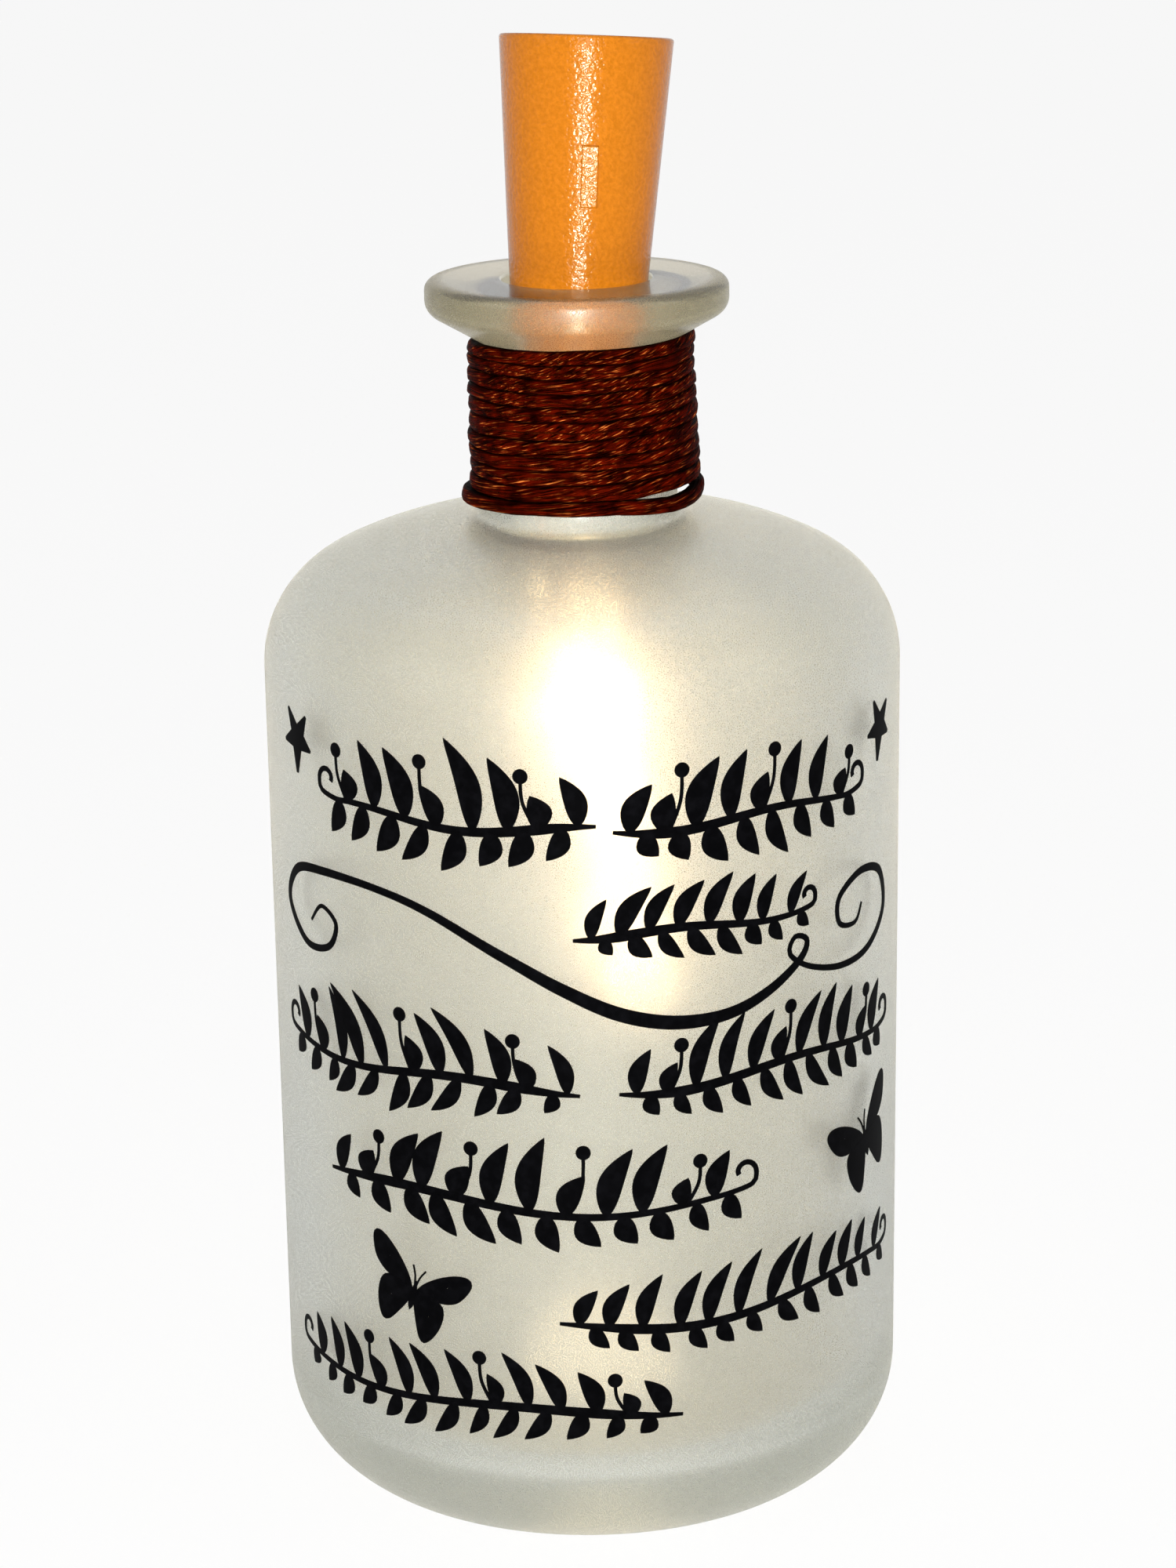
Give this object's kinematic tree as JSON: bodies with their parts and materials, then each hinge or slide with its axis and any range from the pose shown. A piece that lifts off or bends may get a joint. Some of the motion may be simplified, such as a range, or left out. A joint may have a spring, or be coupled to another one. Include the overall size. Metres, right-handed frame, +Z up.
{
  "type": "cork bottle light",
  "caption": "Frosted round glass bottle with a cord-wound neck, closed by a cork-shaped stopper that holds a battery carrier, a slide switch and a hanging string of small lights.",
  "frame": {"origin": "centre of the bottle's base, on the table", "axes": "+Z up the bottle's axis, -Y to the front, +X to the right; the stopper leans towards +X and +Y"},
  "size_m": [0.082, 0.082, 0.1892],
  "materials": {
    "frosted_glass": "satin-frosted, slightly green",
    "waxed_cord": "waxed, dark red-brown",
    "cork_plastic": "moulded, cork orange with a soft sheen",
    "bush_rubber": "matt",
    "board_green": "solder mask",
    "resistor_black": "matt",
    "solder": "bright solder",
    "contact_brass": "plain",
    "cell_steel": "nickelled",
    "wire_copper": "varnished copper",
    "light_resin": "clear resin drops over warm white lights",
    "cage_plastic": "moulded black",
    "switch_metal": "tinned",
    "knob_plastic": "moulded black"
  },
  "bodies": {
    "bottle": {"glass_bottle": "frosted_glass", "neck_cord": "waxed_cord"},
    "stopper": {"stopper_shell": "cork_plastic", "outlet_bush": "bush_rubber", "inner_lead": "wire_copper", "circuit_board": "board_green", "solder_joint": "solder", "board_resistor": "resistor_black", "cell_leaf": "contact_brass", "return_leaf": "contact_brass", "led_wire": "wire_copper", "led_beads": "light_resin"},
    "battery_carrier": {"carrier_cap": "cork_plastic", "battery_cage": "cage_plastic", "cell_lower": "cell_steel", "cell_middle": "cell_steel", "cell_upper": "cell_steel", "upper_contact": "contact_brass", "side_strip": "contact_brass", "switch_case": "switch_metal", "switch_terminals": "switch_metal"},
    "switch_knob": {"switch_slider": "knob_plastic"}
  },
  "joints": [
    {"name": "stopper_lift", "type": "slide", "parent": "bottle", "child": "stopper", "axis": [0, 0, 1], "range_m": [0, 0.105]},
    {"name": "carrier_draw", "type": "slide", "parent": "stopper", "child": "battery_carrier", "axis": [0.0468, 0.1113, 0.9927], "range_m": [0, 0.032]},
    {"name": "switch_slide", "type": "slide", "parent": "battery_carrier", "child": "switch_knob", "axis": [0.9989, 0, -0.0471], "range_m": [0, 0.002]}
  ]
}
